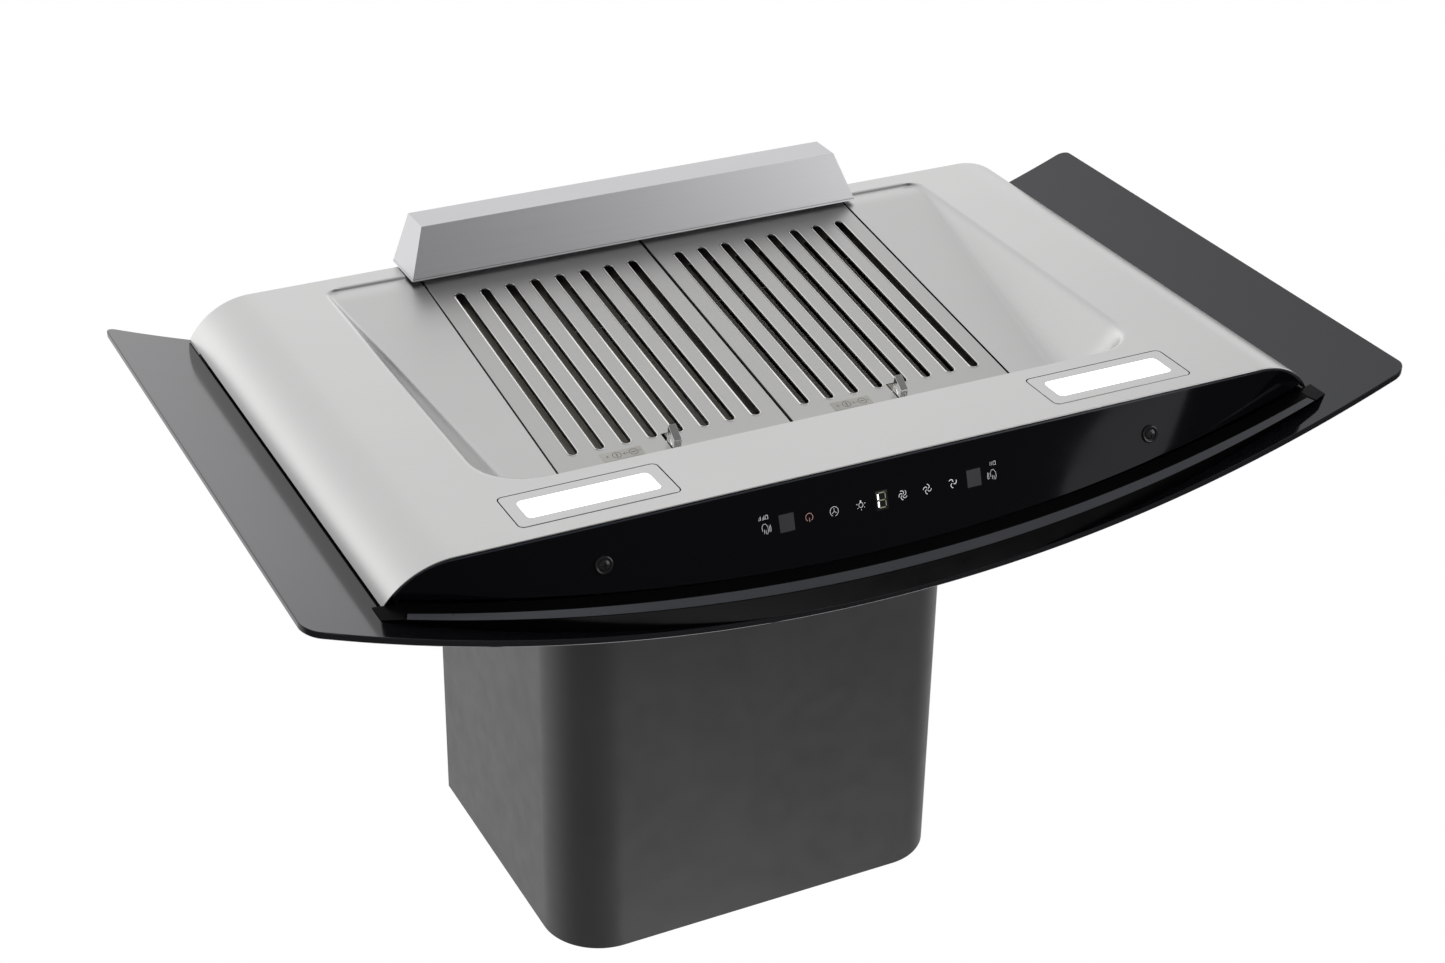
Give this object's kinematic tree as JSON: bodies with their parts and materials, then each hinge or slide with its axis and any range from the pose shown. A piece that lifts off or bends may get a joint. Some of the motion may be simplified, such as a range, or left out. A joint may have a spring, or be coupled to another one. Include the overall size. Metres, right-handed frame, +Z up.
{
  "type": "range hood",
  "caption": "Wall chimney range hood with a curved dark glass canopy over a stainless body, hinged baffle filters, oil tray, touch panel, lamps, blower and telescopic chimney cover.",
  "frame": {"origin": "middle of the wall rail's back face, on the wall surface", "axes": "+Z up, +Y towards the wall, -Y towards the cook, X along the canopy's width"},
  "size_m": [0.9, 0.5071, 0.5704],
  "materials": {
    "canopy_glass": "tempered, tinted nearly black, polished edges",
    "stainless": "brushed along X, satin",
    "filter_steel": "satin, pressed",
    "shaft_steel": "ground",
    "galvanised": "zinc coated, fine spangle",
    "black_metal": "matte black powder coat",
    "cover_paint": "satin dark grey",
    "panel_gloss": "mirror-gloss black",
    "dark_plastic": "fine moulded texture",
    "circuit_board": "solder-mask green",
    "lamp_lens": "opal white",
    "aluminium": "mill finish",
    "rubber": "matte",
    "screw_black": "black oxide, glossy"
  },
  "bodies": {
    "root": {"glass_canopy": "canopy_glass", "body_shell": "stainless", "lamp_frame_left": "stainless", "lamp_frame_right": "stainless", "top_frame": "black_metal", "side_strip_left": "black_metal", "side_strip_right": "black_metal", "front_rim": "black_metal", "rear_panel": "galvanised", "control_panel": "panel_gloss", "gesture_sensor_left": "dark_plastic", "gesture_sensor_right": "dark_plastic", "panel_cup_left": "screw_black", "panel_cup_right": "screw_black", "panel_screw_left": "screw_black", "panel_screw_right": "screw_black", "display_module": "dark_plastic", "control_board": "circuit_board", "lamp_lens_left": "lamp_lens", "lamp_lens_right": "lamp_lens", "lamp_module_left": "aluminium", "lamp_module_right": "aluminium", "tray_clip_left": "galvanised", "tray_clip_right": "galvanised", "blower_box": "galvanised", "blower_top_plate": "galvanised", "scroll_wall": "galvanised", "scroll_front_plate": "galvanised", "scroll_rear_plate": "galvanised", "motor": "aluminium", "motor_bracket": "galvanised", "capacitor": "aluminium", "terminal_box": "dark_plastic", "cable_gland": "dark_plastic", "outlet_collar": "dark_plastic", "flap_bridge": "dark_plastic", "chimney_cover_lower": "cover_paint", "wall_rail": "galvanised", "hanging_hook": "galvanised", "wall_bumper_left": "rubber", "wall_bumper_right": "rubber"},
    "impeller": {"impeller": "aluminium", "motor_shaft": "shaft_steel"},
    "flap_front": {"flap_front": "dark_plastic"},
    "flap_rear": {"flap_rear": "dark_plastic"},
    "filter_left": {"filter_face_left": "filter_steel", "filter_frame_left": "filter_steel", "filter_baffle_left": "filter_steel", "latch_guide_left": "galvanised"},
    "filter_right": {"filter_face_right": "filter_steel", "filter_frame_right": "filter_steel", "filter_baffle_right": "filter_steel", "latch_guide_right": "galvanised"},
    "latch_left": {"latch_left": "filter_steel"},
    "latch_right": {"latch_right": "filter_steel"},
    "oil_tray": {"oil_tray": "stainless"},
    "chimney_upper": {"chimney_cover_upper": "cover_paint", "chimney_bracket": "galvanised"}
  },
  "joints": [
    {"name": "impeller_spin", "type": "hinge", "parent": "root", "child": "impeller", "pos_m": [0.0425, -0.1515, -0.055], "axis": [0, 1, 0], "continuous": true},
    {"name": "flap_front_hinge", "type": "hinge", "parent": "root", "child": "flap_front", "pos_m": [0, -0.155, 0.126], "axis": [-1, 0, 0], "range_deg": [0, 80]},
    {"name": "flap_rear_hinge", "type": "hinge", "parent": "root", "child": "flap_rear", "pos_m": [0, -0.148, 0.126], "axis": [1, 0, 0], "range_deg": [0, 80]},
    {"name": "filter_left_hinge", "type": "hinge", "parent": "root", "child": "filter_left", "pos_m": [0, -0.05, -0.26774], "axis": [1, 0, 0], "range_deg": [0, 75]},
    {"name": "filter_right_hinge", "type": "hinge", "parent": "root", "child": "filter_right", "pos_m": [0, -0.05, -0.26774], "axis": [1, 0, 0], "range_deg": [0, 75]},
    {"name": "latch_left_slide", "type": "slide", "parent": "filter_left", "child": "latch_left", "axis": [0, 0.9902, -0.1397], "range_m": [0, 0.006], "stiffness_N_per_m": 400, "springref_m": -0.002},
    {"name": "latch_right_slide", "type": "slide", "parent": "filter_right", "child": "latch_right", "axis": [0, 0.9902, -0.1397], "range_m": [0, 0.006], "stiffness_N_per_m": 400, "springref_m": -0.002},
    {"name": "oil_tray_slide", "type": "slide", "parent": "root", "child": "oil_tray", "axis": [0, 0, -1], "range_m": [0, 0.025]},
    {"name": "chimney_slide", "type": "slide", "parent": "root", "child": "chimney_upper", "axis": [0, 0, 1], "range_m": [0, 0.35]}
  ]
}
